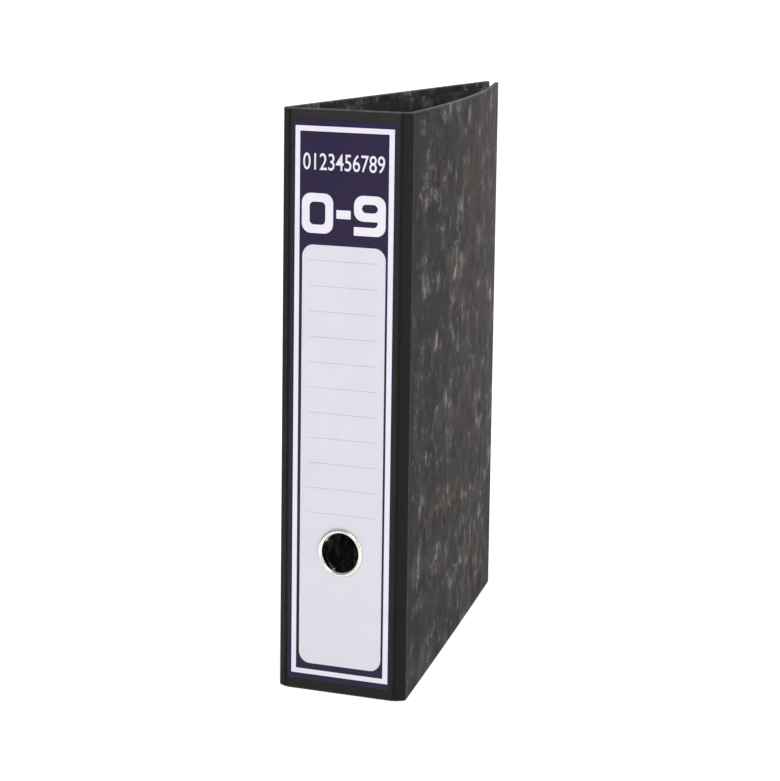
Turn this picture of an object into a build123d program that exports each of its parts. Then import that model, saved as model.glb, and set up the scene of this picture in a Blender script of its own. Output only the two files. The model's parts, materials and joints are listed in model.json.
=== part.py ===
"""A lever arch file: a hinged board case with a lever arch mechanism inside its back cover.

+X points to the front cover's side, +Y to the fore edge and +Z up. The file stands on its
bottom edge with the front cover nearly closed. The origin is at the foot of the spine board.
"""

from build123d import *
from math import asin, atan, cos, degrees, hypot, radians, sin, sqrt
import os

# ---- case, millimetres and degrees ----
height = 318.0
cover_length = 281.4
spine_width = 64.9
strip_width = 5.9
board_thickness = 2.0
covering_thickness = 0.3
lining_thickness = 0.25
front_strip_angle = 38.0
back_strip_angle = 33.0
fore_gap = 6.1
bow_top = 7.0
bow_bottom = 0.4
corner_radius = 3.0
sheet_inset = 0.5

# ---- creases: a round bead on each fold line, with the sheets held back from it ----
crease_depth = 0.7
bead_radius = 0.6
web_thickness = 0.8
crease_gap = 0.36

# ---- label and finger ring ----
label_left_margin = 0.15
label_right_margin = 1.45
label_foot_margin = 6.1
label_head_margin = 5.7
label_thickness = 0.15
label_corner = 1.0
ring_height = 79.0
ring_bore_radius = 10.7
ring_wall = 0.7
ring_rim = 2.0
ring_flange_rise = 1.4
ring_curl = 1.2
washer_rim = 3.1
washer_thickness = 0.5
ring_clearance = 0.2

# ---- base plate, posts and rivets ----
plate_gap_from_spine = 19.75
plate_width = 58.0
plate_length = 156.0
plate_thickness = 1.0
plate_corner = 7.0
rib_rise = 0.8
rib_width = 4.0
post_spacing = 80.0
post_from_axis = 40.0
post_radius = 2.1
post_collar_radius = 4.0
post_collar_top = 4.2
post_spigot_radius = 1.5
socket_mouth_radius = 1.8
socket_foot_radius = 0.6
socket_depth = 1.3
rivet_radius = 2.0
rivet_bore = 1.2
rivet_head_radius = 4.4
rivet_head_rise = 0.7
rivet_spacing = 132.0
rivet_near_u = 8.0
rivet_far_u = 50.0

# ---- arch: one bent wire that turns in two saddles ----
wire_radius = 1.9
axis_u = 8.0
crank_arm = 14.0
crank_half_width = 16.0
wire_bend = 5.0
tip_gap = 0.4
tip_radius = 1.1
tip_length = 1.0
tip_taper = 35.0
saddle_offset = 27.5
saddle_width = 8.0
saddle_wall = 1.2
saddle_foot = 5.5

# ---- lever, roller and their pins ----
sheet = 1.2
pivot_from_axis_u = 16.0
roller_arm = 7.0
roller_rest_gap = 0.6
arch_clearance = 8.3
roller_angle = -112.0
handle_angle = 150.0
handle_length = 34.0
handle_half_width = 12.5
handle_neck_half_width = 8.2
handle_lip_radius = 2.4
lever_ear_inner = 6.3
lever_boss_radius = 3.3
roller_boss_radius = 2.8
lever_depth = 5.6
roller_radius = 4.0
roller_pin_radius = 1.3
pivot_pin_radius = 1.5
pin_head_radius = 2.5
pin_head_rise = 0.7
bracket_ear_inner = 9.5
bracket_boss_radius = 3.6
bracket_foot_start = 19.0
bracket_foot_end = 30.0

# ---- leaf spring and paper clamp ----
spring_thickness = 0.7
spring_rise = 0.25
spring_half_width = 6.0
spring_start = 1.5
spring_end = 25.0
clamp_half_length = 53.0
clamp_width = 15.0
clamp_thickness = 2.4
clamp_boss_radius = 5.4
clamp_boss_rise = 2.0
clamp_hole_radius = 3.1
clamp_tab_half_length = 13.0
clamp_tab_reach = 6.0

# ---- clearances ----
running_gap = 0.06
fixed_gap = 0.03
side_gap = 0.3
hole_gap = 0.1

# ---- places worked out from the sizes above ----
OUTER = (-crease_depth, covering_thickness - crease_depth)
BOARD = (OUTER[1], OUTER[1] + board_thickness)
LINING = (BOARD[1], BOARD[1] + lining_thickness)
crease_y = crease_depth - covering_thickness - board_thickness / 2
spine_outer_y = crease_y - crease_depth
spine_inner_y = crease_y + LINING[1]
spine_half = spine_width / 2
ring_barrel_radius = ring_bore_radius + ring_wall
ring_flange_radius = ring_barrel_radius + ring_rim


def heading(degrees_from_x):
    """A level direction, turned from +X towards +Y."""
    return Vector(cos(radians(degrees_from_x)), sin(radians(degrees_from_x)), 0)


front_crease = Vector(spine_half, crease_y, 0)
back_crease = Vector(-spine_half, crease_y, 0)
front_cover_crease = front_crease + heading(front_strip_angle) * strip_width
back_cover_crease = back_crease + heading(180 - back_strip_angle) * strip_width

# The front cover leans in until the covers' inner faces are fore_gap apart at the fore edge.
back_inner_x = back_cover_crease.X + LINING[1]
lean_reach = front_cover_crease.X - back_inner_x - fore_gap
front_lean = degrees(
    asin(lean_reach / hypot(cover_length, LINING[1])) - atan(LINING[1] / cover_length)
)


def setback(turn):
    """How far two sheets stop short of a crease that folds them by this angle when shut."""
    half = radians(turn / 2)
    mitre = (LINING[1] * sin(half) + crease_gap / 2) / cos(half)
    return max(bead_radius + side_gap, mitre)


front_setback = setback(90 + front_lean - front_strip_angle)
back_setback = setback(90 - back_strip_angle)
spine_setback = setback(max(front_strip_angle, back_strip_angle))

# Each panel is drawn in plan: x runs along it from its crease and y is its thickness,
# inwards on the front side and outwards on the back side.
SPINE_PLAN = Plane(origin=(0, crease_y, 0), x_dir=(1, 0, 0), z_dir=(0, 0, 1))
FRONT_STRIP_PLAN = Plane(front_crease, x_dir=heading(front_strip_angle), z_dir=(0, 0, 1))
BACK_STRIP_PLAN = Plane(back_crease, x_dir=heading(180 - back_strip_angle), z_dir=(0, 0, 1))
FRONT_PLAN = Plane(front_cover_crease, x_dir=heading(90 + front_lean), z_dir=(0, 0, 1))
BACK_PLAN = Plane(back_cover_crease, x_dir=(0, 1, 0), z_dir=(0, 0, 1))
FRONT_SIDE = 1
BACK_SIDE = -1

# The mechanism is drawn from the back cover's inner face: u runs towards the fore edge,
# v stands up from the cover and h is the height above the middle of the file.
plate_start_y = spine_inner_y + plate_gap_from_spine
middle_z = height / 2
post_u = axis_u + post_from_axis
post_half = post_spacing / 2
axis_v = plate_thickness + spring_thickness + spring_rise + side_gap / 2 + wire_radius
pivot_u = axis_u + pivot_from_axis_u
roller_shift = pivot_from_axis_u + roller_arm * cos(radians(roller_angle)) - crank_arm
roller_lift = sqrt((wire_radius + roller_radius + roller_rest_gap) ** 2 - roller_shift**2)
pivot_v = axis_v + roller_lift - roller_arm * sin(radians(roller_angle))
lever_ear_outer = lever_ear_inner + sheet
bracket_ear_outer = bracket_ear_inner + sheet
back_outer_v = -(LINING[1] + crease_depth)
clamp_low = post_collar_top + side_gap

# The hoops reach up to arch_clearance below the shut front cover.
hoop_radius = post_from_axis / 2
hoop_depth = plate_start_y + axis_u + hoop_radius - front_cover_crease.Y
room = front_cover_crease.X - LINING[1] - hoop_depth * sin(radians(front_lean)) - back_inner_x
post_top = room - arch_clearance - hoop_radius - wire_radius


def mech(u, v, h):
    """The place of a point of the mechanism."""
    return Vector(back_inner_x + v, plate_start_y + u, middle_z + h)


def face_plane(v):
    """The plane parallel to the back cover at v, drawn in u and h."""
    return Plane(mech(0, v, 0), x_dir=(0, 1, 0), z_dir=(1, 0, 0))


def side_plane(h):
    """The level plane at h, drawn in u and v; it faces down."""
    return Plane(mech(0, 0, h), x_dir=(0, 1, 0), z_dir=(0, 0, -1))


# The lever is drawn from its pivot, with x along the handle and y towards the cover.
LEVER_PLANE = Plane(
    mech(pivot_u, pivot_v, 0),
    x_dir=(sin(radians(handle_angle)), cos(radians(handle_angle)), 0),
    z_dir=(0, 0, -1),
)
roller_turn = radians(roller_angle - handle_angle)
roller_local = (roller_arm * cos(roller_turn), -roller_arm * sin(-roller_turn))
RIVET_SPOTS = [
    (u, side * rivet_spacing / 2) for u in (rivet_near_u, rivet_far_u) for side in (-1, 1)
]
POST_SPOTS = [(post_u, -post_half), (post_u, post_half)]


def inset_of(layer):
    """How far a sheet stops short of the top and bottom edges; boards reach both."""
    return 0 if layer == BOARD else sheet_inset


def save(piece, name):
    """Label a finished piece and write it as one STEP file."""
    piece.part.label = name
    export_step(piece.part, f"parts/{name}.step")


# ---- case ----


def flat_sheet(plan, side, start, end, layer):
    """A flat sheet of a panel."""
    low, high = side * layer[0], side * layer[1]
    inset = inset_of(layer)
    with BuildPart() as flat:
        with BuildSketch(plan.offset(inset)):
            with BuildLine():
                Polyline((start, low), (end, low), (end, high), (start, high), close=True)
            make_face()
        extrude(amount=height - 2 * inset)
    return flat


def cover_outline(plan, inset):
    """A prism through a cover, with the cover's two rounded corners at the fore edge."""
    upright = Plane(plan.origin, x_dir=plan.x_dir, z_dir=plan.x_dir.cross(plan.z_dir))
    with BuildPart() as prism:
        with BuildSketch(upright):
            with Locations((0, height / 2)):
                RectangleRounded(2 * cover_length, height - 2 * inset, corner_radius)
        extrude(amount=bow_top + 2 * board_thickness, both=True)
    return prism.part


def spine_sheet(layer, hole_radius):
    """A sheet of the spine with the round hole of the finger ring."""
    reach = spine_half - spine_setback
    inset = inset_of(layer)
    with BuildPart() as flat:
        with BuildSketch(SPINE_PLAN.offset(inset)):
            with BuildLine():
                Polyline(
                    (-reach, layer[0]),
                    (reach, layer[0]),
                    (reach, layer[1]),
                    (-reach, layer[1]),
                    close=True,
                )
            make_face()
        extrude(amount=height - 2 * inset)
        with BuildSketch(Plane.XZ):
            with Locations((0, ring_height)):
                Circle(hole_radius)
        extrude(amount=2 * board_thickness, both=True, mode=Mode.SUBTRACT)
    return flat


def hinge_strip(plan, side, cover_setback):
    """A narrow board between two fold lines, with a bead along each of them."""
    with BuildPart() as strip:
        with BuildSketch(plan):
            with Locations((strip_width / 2, 0)):
                Rectangle(strip_width, web_thickness)
            with Locations((0, 0), (strip_width, 0)):
                Circle(bead_radius)
            with BuildLine():
                start, end = spine_setback, strip_width - cover_setback
                low, high = side * BOARD[0], side * BOARD[1]
                Polyline((start, low), (end, low), (end, high), (start, high), close=True)
            make_face()
        extrude(amount=height)
    return strip


def front_cover_sheet(layer):
    """A sheet of the front cover, straight at its foot and bowed outwards at its top."""
    low, high = layer
    start, end = front_setback, cover_length
    middle = (start + end) / 2
    with BuildPart() as bowed:
        for level, bow in ((0, bow_bottom), (height, bow_top)):
            with BuildSketch(FRONT_PLAN.offset(level)):
                with BuildLine():
                    ThreePointArc((start, low), (middle, low - bow), (end, low))
                    Line((end, low), (end, high))
                    ThreePointArc((end, high), (middle, high - bow), (start, high))
                    Line((start, high), (start, low))
                make_face()
        loft()
        add(cover_outline(FRONT_PLAN, inset_of(layer)), mode=Mode.INTERSECT)
    return bowed


def back_cover_sheet(layer):
    """A flat sheet of the back cover with the four rivet holes."""
    low, high = BACK_SIDE * layer[0], BACK_SIDE * layer[1]
    start, end = back_setback, cover_length
    with BuildPart() as flat:
        with BuildSketch(BACK_PLAN):
            with BuildLine():
                Polyline((start, low), (end, low), (end, high), (start, high), close=True)
            make_face()
        extrude(amount=height)
        add(cover_outline(BACK_PLAN, inset_of(layer)), mode=Mode.INTERSECT)
        with BuildSketch(face_plane(0)):
            with Locations(*RIVET_SPOTS):
                Circle(rivet_radius + hole_gap)
        extrude(amount=2 * board_thickness, both=True, mode=Mode.SUBTRACT)
    return flat


def spine_label():
    """The printed sheet stuck to the spine, with a hole under the finger ring."""
    reach = spine_half - spine_setback
    width = 2 * reach - label_left_margin - label_right_margin
    tall = height - label_foot_margin - label_head_margin
    with BuildPart() as label:
        with BuildSketch(Plane.XZ.offset(-spine_outer_y)):
            with Locations(
                ((label_left_margin - label_right_margin) / 2, label_foot_margin + tall / 2)
            ):
                RectangleRounded(width, tall, label_corner)
            with Locations((0, ring_height)):
                Circle(ring_barrel_radius + ring_clearance, mode=Mode.SUBTRACT)
        extrude(amount=label_thickness)
    return label


def finger_ring():
    """The metal ring round the finger hole: a domed flange, a barrel and a curled end."""
    barrel = ring_barrel_radius
    curl = barrel + ring_curl
    face = spine_outer_y - label_thickness
    crown = face - ring_flange_rise
    back = spine_inner_y + washer_thickness
    with BuildPart() as ring:
        with BuildSketch(Plane.XY.offset(ring_height)):
            with BuildLine():
                Line((ring_flange_radius, face), (barrel, face))
                Line((barrel, face), (barrel, back))
                Line((barrel, back), (curl, back))
                Line((curl, back), (curl, back + ring_wall))
                Line((curl, back + ring_wall), (ring_bore_radius, back + ring_wall))
                Line((ring_bore_radius, back + ring_wall), (ring_bore_radius, crown + ring_wall))
                bend = ThreePointArc(
                    (ring_bore_radius, crown + ring_wall),
                    (ring_bore_radius + 0.3 * ring_wall, crown + 0.3 * ring_wall),
                    (barrel, crown),
                )
                Spline(
                    bend @ 1,
                    ((barrel + 2 * ring_flange_radius) / 3, crown + 0.3 * ring_flange_rise),
                    (ring_flange_radius, face),
                    tangents=((1, 0), (0.3, 1)),
                )
            make_face()
        revolve(axis=Axis((0, 0, ring_height), (0, 1, 0)))
    return ring


def finger_ring_washer():
    """The flat washer behind the spine that the ring's end is curled over."""
    with BuildPart() as washer:
        with BuildSketch(Plane.XZ.offset(-spine_inner_y)):
            with Locations((0, ring_height)):
                Circle(ring_barrel_radius + washer_rim)
                Circle(ring_barrel_radius + ring_clearance / 2, mode=Mode.SUBTRACT)
        extrude(amount=-washer_thickness)
    return washer


# ---- mechanism, fixed pieces ----


def base_plate():
    """The steel plate riveted inside the back cover, with stiffening ribs and its holes."""
    notch = (plate_length - post_spacing) / 2 - 2 * post_collar_radius
    with BuildPart() as plate:
        with BuildSketch(face_plane(0)):
            with Locations((plate_width / 2, 0)):
                RectangleRounded(plate_width, plate_length, plate_corner)
            with Locations((plate_width, 0)):
                SlotCenterToCenter(
                    post_spacing - 2 * notch, notch / 2, rotation=90, mode=Mode.SUBTRACT
                )
            with Locations(*POST_SPOTS):
                Circle(post_spigot_radius + fixed_gap, mode=Mode.SUBTRACT)
            with Locations(*RIVET_SPOTS):
                Circle(rivet_radius + hole_gap, mode=Mode.SUBTRACT)
        extrude(amount=plate_thickness)
        rib_length = plate_width / 2
        with BuildSketch(face_plane(plate_thickness)):
            with Locations(
                *[
                    ((rivet_near_u + rivet_far_u) / 2, side * reach)
                    for side in (-1, 1)
                    for reach in (post_half + 2.5 * rib_width, rivet_spacing / 2)
                ]
            ):
                SlotOverall(rib_length, rib_width)
        extrude(amount=rib_rise, taper=30)
    return plate


def post(h):
    """A hollow-topped post that carries the papers, spigoted into the plate."""
    with BuildPart() as stem:
        with BuildSketch(face_plane(0)):
            with Locations((post_u, h)):
                Circle(post_spigot_radius)
        extrude(amount=plate_thickness)
        with BuildSketch(face_plane(plate_thickness)):
            with Locations((post_u, h)):
                Circle(post_collar_radius)
        extrude(amount=post_collar_top - plate_thickness, taper=4)
        with BuildSketch(face_plane(post_collar_top)):
            with Locations((post_u, h)):
                Circle(post_radius)
        extrude(amount=post_top - post_collar_top)
        with BuildSketch(face_plane(post_top)):
            with Locations((post_u, h)):
                Circle(socket_mouth_radius)
        with BuildSketch(face_plane(post_top - socket_depth)):
            with Locations((post_u, h)):
                Circle(socket_foot_radius)
        loft(mode=Mode.SUBTRACT)
    return stem


def saddle(h):
    """A bearing lug on the plate, with the bore that the arch wire turns in."""
    with BuildPart() as lug:
        with BuildSketch(side_plane(h)):
            with Locations((axis_u, axis_v)):
                Circle(wire_radius + saddle_wall)
            with Locations((axis_u, (plate_thickness + axis_v) / 2)):
                Rectangle(2 * (wire_radius + saddle_wall), axis_v - plate_thickness)
            with Locations((axis_u, plate_thickness + sheet / 2)):
                Rectangle(2 * saddle_foot, sheet)
            with Locations((axis_u, plate_thickness / 2)):
                Rectangle(2 * saddle_foot, plate_thickness, mode=Mode.SUBTRACT)
            with Locations((axis_u, axis_v)):
                Circle(wire_radius + running_gap, mode=Mode.SUBTRACT)
        extrude(amount=saddle_width / 2, both=True)
    return lug


def lever_bracket():
    """The U bracket on the plate whose two ears carry the lever's pin."""
    foot_start = axis_u + bracket_foot_start
    foot_end = axis_u + bracket_foot_end
    with BuildPart() as bracket:
        for low in (bracket_ear_inner, -bracket_ear_outer):
            with BuildSketch(side_plane(low)):
                with Locations((pivot_u, pivot_v)):
                    Circle(bracket_boss_radius)
                with Locations(((foot_start + foot_end) / 2, plate_thickness + sheet / 2)):
                    Rectangle(foot_end - foot_start, sheet)
                make_hull()
                with Locations((pivot_u, pivot_v)):
                    Circle(pivot_pin_radius + fixed_gap, mode=Mode.SUBTRACT)
            extrude(amount=-sheet)
        with BuildSketch(face_plane(plate_thickness)):
            with Locations(((foot_start + foot_end) / 2, 0)):
                Rectangle(foot_end - foot_start, 2 * bracket_ear_outer)
        extrude(amount=sheet)
    return bracket


def cross_pin(u, v, radius, reach):
    """A pin along the lever's width with a round head at each end."""
    with BuildPart() as pin:
        with BuildSketch(side_plane(0)):
            with Locations((u, v)):
                Circle(radius)
        extrude(amount=reach, both=True)
        for level in (reach, -reach - pin_head_rise):
            with BuildSketch(side_plane(level)):
                with Locations((u, v)):
                    Circle(min(pin_head_radius, 1.7 * radius))
            extrude(amount=-pin_head_rise)
    return pin


def leaf_spring():
    """The spring strip on the plate whose free end lies under the crank of the arch."""
    rest = plate_thickness
    lift = spring_rise
    with BuildPart() as spring:
        with BuildSketch(side_plane(0)):
            with BuildLine():
                Polyline(
                    (spring_start, rest),
                    (axis_u, rest),
                    (spring_end - 5, rest + lift),
                    (spring_end, rest + lift),
                    (spring_end, rest + lift + spring_thickness),
                    (spring_end - 5, rest + lift + spring_thickness),
                    (axis_u, rest + spring_thickness),
                    (spring_start, rest + spring_thickness),
                    close=True,
                )
            make_face()
        extrude(amount=spring_half_width, both=True)
    return spring


def mechanism_rivets():
    """Four tubular rivets that hold the plate to the back cover."""
    with BuildPart() as rivets:
        with BuildSketch(face_plane(back_outer_v)):
            with Locations(*RIVET_SPOTS):
                Circle(rivet_radius)
        extrude(amount=plate_thickness - back_outer_v)
        for level, direction in ((back_outer_v, -1), (plate_thickness, 1)):
            with BuildSketch(face_plane(level)):
                with Locations(*RIVET_SPOTS):
                    Circle(rivet_head_radius)
            extrude(amount=direction * rivet_head_rise, taper=40)
        with BuildSketch(face_plane(0)):
            with Locations(*RIVET_SPOTS):
                Circle(rivet_bore)
        extrude(amount=2 * board_thickness, mode=Mode.SUBTRACT)
    return rivets


# ---- mechanism, moving pieces ----


def arch():
    """The bent wire: two hoops joined by a cranked shaft, with a tapered tip on each hoop."""
    tip_v = post_top + tip_gap
    crank_u = axis_u + crank_arm
    with BuildPart() as wire:
        with BuildLine() as path:
            ThreePointArc(
                mech(post_u, tip_v, post_half),
                mech(post_u - hoop_radius, tip_v + hoop_radius, post_half),
                mech(axis_u, tip_v, post_half),
            )
            FilletPolyline(
                mech(axis_u, tip_v, post_half),
                mech(axis_u, axis_v, post_half),
                mech(axis_u, axis_v, crank_half_width),
                mech(crank_u, axis_v, crank_half_width),
                mech(crank_u, axis_v, 0),
                radius=wire_bend,
            )
        with BuildSketch(face_plane(tip_v)):
            with Locations((post_u, post_half)):
                Circle(wire_radius)
        sweep(path=path.line)
        with BuildSketch(Plane(mech(post_u, tip_v, post_half), z_dir=(-1, 0, 0))):
            Circle(tip_radius)
        extrude(amount=tip_length, taper=tip_taper)
        mirror(about=Plane.XY.offset(middle_z))
    return wire


def lever():
    """The pressed steel lever: a handle with a curled lip and two ears."""
    web_under = -lever_boss_radius
    web_top = web_under - sheet
    flange_end = 0.7 * handle_length
    with BuildPart() as pressing:
        for low in (lever_ear_inner, -lever_ear_outer):
            with BuildSketch(LEVER_PLANE.offset(low)):
                Circle(lever_boss_radius)
                with Locations(roller_local):
                    Circle(roller_boss_radius)
                make_hull()
                with BuildLine():
                    Polyline(
                        (-lever_boss_radius, web_top),
                        (flange_end, web_top),
                        (flange_end, web_under + sheet),
                        (lever_depth, lever_boss_radius),
                        (-lever_boss_radius, 0),
                        close=True,
                    )
                make_face()
            extrude(amount=sheet)
        with BuildSketch(LEVER_PLANE):
            lip_x = handle_length - handle_lip_radius
            with BuildLine():
                outer = handle_lip_radius
                inner = handle_lip_radius - sheet
                centre_y = web_top + outer
                Line((-lever_boss_radius, web_top), (lip_x, web_top))
                CenterArc((lip_x, centre_y), outer, -90, 180)
                Line((lip_x, centre_y + outer), (lip_x, centre_y + inner))
                CenterArc((lip_x, centre_y), inner, 90, -180)
                Line((lip_x, web_under), (-lever_boss_radius, web_under))
                Line((-lever_boss_radius, web_under), (-lever_boss_radius, web_top))
            make_face()
        extrude(amount=handle_half_width, both=True)
        outline = Plane(
            LEVER_PLANE.origin, x_dir=LEVER_PLANE.x_dir, z_dir=-LEVER_PLANE.y_dir
        )
        with BuildSketch(outline):
            with BuildLine() as half:
                FilletPolyline(
                    (-2 * lever_boss_radius, 0),
                    (-2 * lever_boss_radius, handle_neck_half_width),
                    (0.35 * handle_length, handle_neck_half_width),
                    (0.6 * handle_length, handle_half_width),
                    (handle_length, handle_half_width),
                    (handle_length, 0),
                    radius=4,
                )
                mirror(half.line, about=Plane.XZ)
            make_face()
        extrude(amount=4 * roller_arm, both=True, mode=Mode.INTERSECT)
        with BuildSketch(LEVER_PLANE):
            Circle(pivot_pin_radius + running_gap)
            with Locations(roller_local):
                Circle(roller_pin_radius + fixed_gap)
        extrude(amount=2 * handle_half_width, both=True, mode=Mode.SUBTRACT)
    return pressing


def roller():
    """The steel roller between the lever's ears that presses on the crank."""
    centre = LEVER_PLANE.from_local_coords(Vector(*roller_local, 0))
    with BuildPart() as wheel:
        with BuildSketch(Plane(centre, z_dir=(0, 0, 1))):
            Circle(roller_radius)
            Circle(roller_pin_radius + running_gap, mode=Mode.SUBTRACT)
        extrude(amount=lever_ear_inner - side_gap, both=True)
    return wheel


def paper_clamp():
    """The plastic bar that slides on the posts, with a boss round each hole and a tab."""
    with BuildPart() as bar:
        with BuildSketch(face_plane(clamp_low)):
            with Locations((post_u, 0)):
                SlotOverall(2 * clamp_half_length, clamp_width, rotation=90)
            with Locations((post_u + clamp_width / 2, 0)):
                RectangleRounded(
                    2 * clamp_tab_reach, 2 * clamp_tab_half_length, clamp_tab_reach / 2
                )
        extrude(amount=clamp_thickness)
        with BuildSketch(face_plane(clamp_low + clamp_thickness)):
            with Locations(*POST_SPOTS):
                Circle(clamp_boss_radius)
            with Locations((post_u, 0)):
                Rectangle(clamp_thickness, post_spacing)
        extrude(amount=clamp_boss_rise, taper=8)
        with BuildSketch(face_plane(clamp_low)):
            with Locations(*POST_SPOTS):
                Circle(clamp_hole_radius)
        extrude(amount=3 * clamp_thickness, mode=Mode.SUBTRACT)
    return bar


def main():
    """Make every piece and write it."""
    os.makedirs("parts", exist_ok=True)
    ring_hole = ring_barrel_radius + ring_clearance
    roller_place = LEVER_PLANE.from_local_coords(Vector(*roller_local, 0)) - mech(0, 0, 0)
    save(spine_sheet(BOARD, ring_hole), "spine_board")
    save(spine_sheet(OUTER, ring_hole), "spine_cloth")
    save(spine_sheet(LINING, ring_hole), "spine_lining")
    save(spine_label(), "spine_label")
    save(finger_ring(), "finger_ring")
    save(finger_ring_washer(), "finger_ring_washer")
    strips = (
        ("front", FRONT_STRIP_PLAN, FRONT_SIDE, front_setback),
        ("back", BACK_STRIP_PLAN, BACK_SIDE, back_setback),
    )
    for name, plan, side, cover_setback in strips:
        strip_end = strip_width - cover_setback
        save(hinge_strip(plan, side, cover_setback), f"{name}_hinge_strip")
        save(flat_sheet(plan, side, spine_setback, strip_end, OUTER), f"{name}_strip_cloth")
        save(flat_sheet(plan, side, spine_setback, strip_end, LINING), f"{name}_strip_lining")
    for name, maker in (("front", front_cover_sheet), ("back", back_cover_sheet)):
        save(maker(BOARD), f"{name}_cover_board")
        save(maker(OUTER), f"{name}_cover_paper")
        save(maker(LINING), f"{name}_cover_lining")
    save(base_plate(), "base_plate")
    save(mechanism_rivets(), "mechanism_rivets")
    for name, sign in (("lower", -1), ("upper", 1)):
        save(post(sign * post_half), f"{name}_post")
        save(saddle(sign * saddle_offset), f"{name}_arch_saddle")
    save(lever_bracket(), "lever_bracket")
    save(cross_pin(pivot_u, pivot_v, pivot_pin_radius, bracket_ear_outer), "lever_pin")
    save(leaf_spring(), "leaf_spring")
    save(arch(), "arch_wire")
    save(lever(), "lever")
    save(
        cross_pin(roller_place.Y, roller_place.X, roller_pin_radius, lever_ear_outer),
        "roller_pin",
    )
    save(roller(), "roller")
    save(paper_clamp(), "paper_clamp")


main()
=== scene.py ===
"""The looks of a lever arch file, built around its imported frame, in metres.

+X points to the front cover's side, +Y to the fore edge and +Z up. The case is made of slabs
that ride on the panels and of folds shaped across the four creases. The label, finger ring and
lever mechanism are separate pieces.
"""

import json
import math

import bmesh
import bpy
from mathutils import Matrix, Vector


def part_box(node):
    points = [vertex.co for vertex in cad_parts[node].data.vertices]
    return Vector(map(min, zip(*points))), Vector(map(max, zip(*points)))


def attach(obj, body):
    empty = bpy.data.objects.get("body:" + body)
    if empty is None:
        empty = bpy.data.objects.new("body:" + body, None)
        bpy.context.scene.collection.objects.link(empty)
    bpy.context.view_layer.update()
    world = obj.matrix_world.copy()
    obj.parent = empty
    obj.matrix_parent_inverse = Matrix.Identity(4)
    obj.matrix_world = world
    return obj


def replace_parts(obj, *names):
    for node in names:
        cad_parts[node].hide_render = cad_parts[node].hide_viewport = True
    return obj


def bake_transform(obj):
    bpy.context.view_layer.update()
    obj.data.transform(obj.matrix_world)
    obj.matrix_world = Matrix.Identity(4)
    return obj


MM = 0.001

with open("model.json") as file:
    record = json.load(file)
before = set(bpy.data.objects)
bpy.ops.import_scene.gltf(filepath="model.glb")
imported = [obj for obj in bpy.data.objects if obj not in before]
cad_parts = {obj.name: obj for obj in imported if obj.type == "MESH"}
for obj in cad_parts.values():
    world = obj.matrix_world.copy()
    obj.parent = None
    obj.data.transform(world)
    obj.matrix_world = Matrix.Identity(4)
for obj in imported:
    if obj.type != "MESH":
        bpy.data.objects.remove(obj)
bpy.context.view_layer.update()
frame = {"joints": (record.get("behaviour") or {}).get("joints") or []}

# ---- places read from the frame ----

JOINTS = {joint["name"]: joint for joint in frame["joints"]}


def pivot(joint):
    """A point on a joint's axis."""
    return Vector(JOINTS[joint]["pos_m"])


def travel(joint):
    """A joint's largest turn, in radians."""
    return math.radians(max(JOINTS[joint]["range_deg"]))


def low(node):
    """The corner of a node's box with the smallest coordinates."""
    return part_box(node)[0]


def high(node):
    """The corner of a node's box with the largest coordinates."""
    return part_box(node)[1]


HEIGHT = high("spine_board").z
OUTER = pivot("front_strip_crease").y - low("spine_cloth").y
INNER = high("spine_lining").y - pivot("front_strip_crease").y
COVER_LENGTH = high("back_cover_board").y - pivot("back_cover_crease").y
SPINE_HALF = pivot("front_strip_crease").x
LABEL_FACE = low("spine_label").y
RING_CENTRE = (low("finger_ring") + high("finger_ring")) / 2
BACK_INNER_X = high("back_cover_lining").x
MIDDLE_Z = HEIGHT / 2

# ---- the case's own details ----

EDGE_RADIUS = 0.62 * MM
EDGE_STEPS = 4
CORNER_RADIUS = 1.3 * MM
CORNER_STEPS = 6
SPINE_FOLD_REACH = 1.3 * MM
COVER_FOLD_REACH = 2.2 * MM
FOLD_STEPS = 9
FOLD_DIP = 0.2 * MM
OUTER_GROOVE = 0.42 * MM
OUTER_GROOVE_SHARE = 0.7
INNER_GROOVE = 1.0 * MM
INNER_FACE = INNER - 0.05 * MM
BOW_TOP = 7.0 * MM
BOW_BOTTOM = 0.4 * MM
LINING_MARGIN = 4.0 * MM
LINING_RISE = 0.03 * MM
LINING_SINK = 0.03 * MM

# ---- label, ring and camera; lengths of the label and ring are in millimetres ----

LABEL_THICKNESS = 0.15
INK = 0.03
# boxes are (left, right, foot, head)
FRAME_OUTSIDE = (-29.1, 28.8, 9.2, 308.8)
FRAME_INSIDE = (-26.3, 25.8, 11.9, 306.0)
PANEL_BOX = (-24.5, 24.5, 15.4, 245.6)
RULE_TOP, RULE_SPACING, RULE_COUNT = 237.3, 13.75, 11
RULE_LEFT, RULE_RIGHT, RULE_HALF = -20.5, 20.0, 0.15
NUMBER_BOX = (-25.0, 24.2, 251.8, 273.2)
INDEX_BOX = (-24.4, 23.4, 285.5, 294.5)
RING_BORE = 10.7
RING_BARREL = 11.4
CAMERA_PLACE = (0.6293, -1.3325, 0.4209)
CAMERA_ANGLES = (24.31, 9.73, 0.80)
CAMERA_LENS = 128.63
ROOM_LIGHT = 0.79
ROOM_LEFT = 0.42
FLOOR_GLOW = 0.60


# ---- small helpers ----


def smooth(x):
    """0 up to 1 with level ends."""
    x = min(1.0, max(0.0, x))
    return x * x * (3 - 2 * x)


def direction(angle):
    """The unit vector in plan at an angle from +X."""
    return Vector((math.cos(angle), math.sin(angle), 0))


def link(name, mesh, materials):
    """A new object that shows a mesh."""
    piece = bpy.data.objects.new(name, mesh)
    bpy.context.scene.collection.objects.link(piece)
    for material in materials:
        mesh.materials.append(material)
    return piece


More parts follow.
